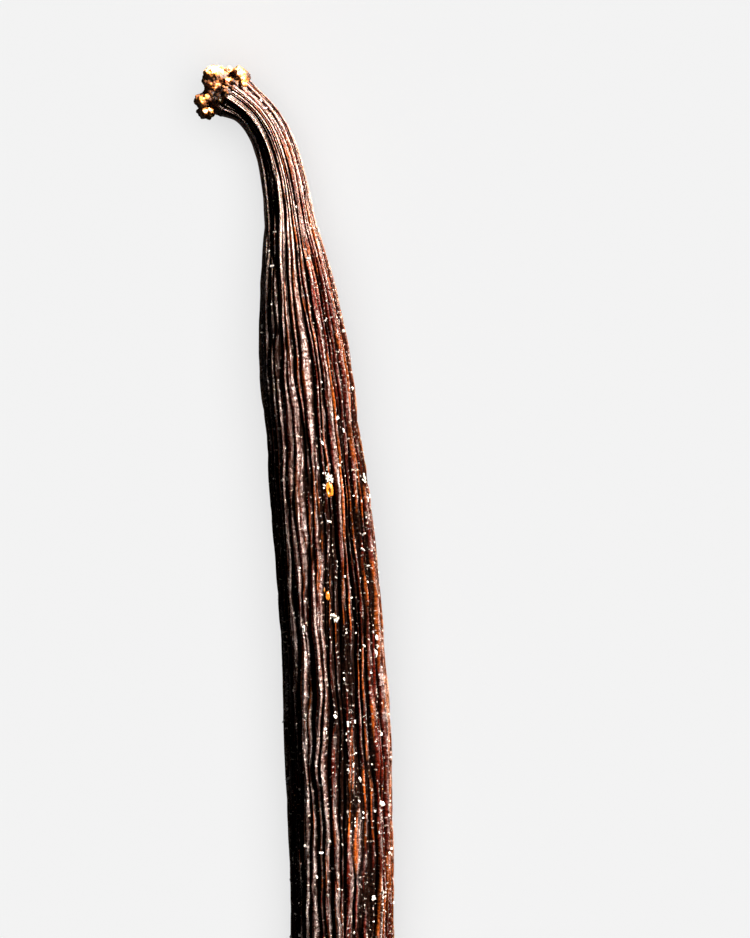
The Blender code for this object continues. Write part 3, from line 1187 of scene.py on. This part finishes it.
class StageLook(PropertyGroup):
    """The floor, the lights and the camera."""

    floor_colour: colour_setting("Floor", (0.33, 0.33, 0.33), "Colour of the floor")
    key_power: FloatProperty(
        name="Key light", description="Power of the low light from the side",
        default=180.0, min=0, unit="POWER",
    )
    fill_power: FloatProperty(
        name="Fill light", description="Power of the weak light from above",
        default=0.8, min=0, unit="POWER",
    )
    back_power: FloatProperty(
        name="Back light", description="Power of the low light from behind",
        default=1.5, min=0, unit="POWER",
    )
    floor_power: FloatProperty(
        name="Floor light", description="Power of the light over the floor",
        default=23.4, min=0, unit="POWER",
    )
    floor_glow: FloatProperty(
        name="Floor glow", description="Light that comes through the floor from below",
        default=0.62, min=0, max=1,
    )
    view_height: length_setting("View height", 0.07386, "Length that the picture takes in")
    view_back: length_setting("View middle", 0.03185, "Picture's middle, back from the stalk end")
    view_aside: length_setting("View aside", 0.00642, "Picture's middle, aside from the pod's middle")


def add_light(name, where, target, size, power, receivers, tint=(1, 1, 1)):
    """A light of a width and height that shines at the target on the receivers alone."""
    data = bpy.data.lights.new(name, "AREA")
    data.shape = "RECTANGLE"
    data.size, data.size_y = size
    data.energy = power
    light = bpy.data.objects.new(name, data)
    light.location = where
    light.rotation_euler = (Vector(target) - Vector(where)).to_track_quat("-Z", "Y").to_euler()
    bpy.context.scene.collection.objects.link(light)
    light.light_linking.receiver_collection = receivers
    data.color = tint
    return light


def direction(azimuth, elevation):
    """Unit vector at an azimuth from +X towards +Y and an elevation, both in degrees."""
    turn, lift = math.radians(azimuth), math.radians(elevation)
    return Vector((math.cos(lift) * math.cos(turn), math.cos(lift) * math.sin(turn), math.sin(lift)))


class VANILLA_OT_stage(Operator):
    """Add the floor, the lights and the camera"""

    bl_idname = "vanilla.stage"
    bl_label = "Stage"

    def execute(self, context):
        look = context.scene.vanilla_stage
        scene = context.scene
        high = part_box("pod")[1]
        floor = self.add_floor(look)
        floor_only = bpy.data.collections.new("lit_floor")
        floor_only.objects.link(floor)
        pod_only = bpy.data.collections.new("lit_pod")
        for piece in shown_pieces():
            pod_only.objects.link(piece)
        target = Vector(LIT_SPOT)
        key = target + direction(-50, 27)
        add_light("key", key, target, KEY_SIZE, look.key_power, pod_only, (1.0, 0.93, 0.87))
        fills = (("fill", 60, 50, look.fill_power), ("back", 140, 8, look.back_power))
        for name, azimuth, elevation, power in fills:
            place = target + direction(azimuth, elevation)
            add_light(name, place, target, FILL_SIZE, power, pod_only)
        add_light("overhead", (0, 0, 1.0), (0, 0, 0), FLOOR_LIGHT_SIZE, look.floor_power, floor_only)

        world = bpy.data.worlds.new("studio")
        scene.world = world
        world.use_nodes = True
        background = world.node_tree.nodes["Background"]
        background.inputs["Color"].default_value = (0.88, 0.88, 0.88, 1.0)
        world.cycles_visibility.diffuse = False
        world.cycles_visibility.glossy = False
        world.cycles_visibility.transmission = False

        data = bpy.data.cameras.new("camera")
        data.lens = LENS
        data.clip_start = 0.01
        camera = bpy.data.objects.new("camera", data)
        scene.collection.objects.link(camera)
        reach = look.view_height * data.lens / data.sensor_width
        camera.location = (high[0] - look.view_back, -look.view_aside, reach + LENS_LIFT)
        camera.rotation_euler = (0, 0, -math.pi / 2)
        scene.camera = camera
        scene.view_settings.view_transform = "Standard"
        return {"FINISHED"}

    def add_floor(self, look):
        mesh = bmesh.new()
        bmesh.ops.create_grid(mesh, x_segments=1, y_segments=1, size=3.0)
        bmesh.ops.translate(mesh, verts=mesh.verts, vec=(0, 0, -FLOOR_DROP))
        material, shader = plain_material("pale_floor", look.floor_colour, 0.9)
        shader.inputs["Specular IOR Level"].default_value = 0.1
        shader.inputs["Emission Color"].default_value = (1.0, 1.0, 1.0, 1.0)
        shader.inputs["Emission Strength"].default_value = look.floor_glow
        floor = new_object("floor", mesh, material)
        floor.visible_diffuse = False
        floor.visible_glossy = False
        floor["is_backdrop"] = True
        return floor


# ---------------------------------------------------------------- add-on


class VANILLA_PT_panel(Panel):
    """Lists the pod's pieces and their sizes and colours"""

    bl_idname = "VANILLA_PT_panel"
    bl_label = "Vanilla Pod"
    bl_space_type = "VIEW_3D"
    bl_region_type = "UI"
    bl_category = "Vanilla"

    def draw(self, context):
        for operator, group in PIECES:
            box = self.layout.box()
            box.operator(operator.bl_idname)
            look = getattr(context.scene, group)
            for name in look.__annotations__:
                box.prop(look, name)


LOOKS = {
    "vanilla_skin": SkinLook,
    "vanilla_crust": CrustLook,
    "vanilla_frost": FrostLook,
    "vanilla_resin": ResinLook,
    "vanilla_stage": StageLook,
}
PIECES = (
    (VANILLA_OT_skin, "vanilla_skin"),
    (VANILLA_OT_crust, "vanilla_crust"),
    (VANILLA_OT_frost, "vanilla_frost"),
    (VANILLA_OT_resin, "vanilla_resin"),
    (VANILLA_OT_stage, "vanilla_stage"),
)
CLASSES = (
    *LOOKS.values(),
    *(operator for operator, group in PIECES),
    VANILLA_PT_panel,
)


def register():
    for made in CLASSES:
        bpy.utils.register_class(made)
    for name, group in LOOKS.items():
        setattr(bpy.types.Scene, name, PointerProperty(type=group))


def unregister():
    for name in LOOKS:
        delattr(bpy.types.Scene, name)
    for made in reversed(CLASSES):
        bpy.utils.unregister_class(made)


def main():
    register()
    bpy.ops.vanilla.skin()
    bpy.ops.vanilla.crust()
    bpy.ops.vanilla.frost()
    bpy.ops.vanilla.resin()
    bpy.ops.vanilla.stage()


if __name__ == "__main__":
    main()
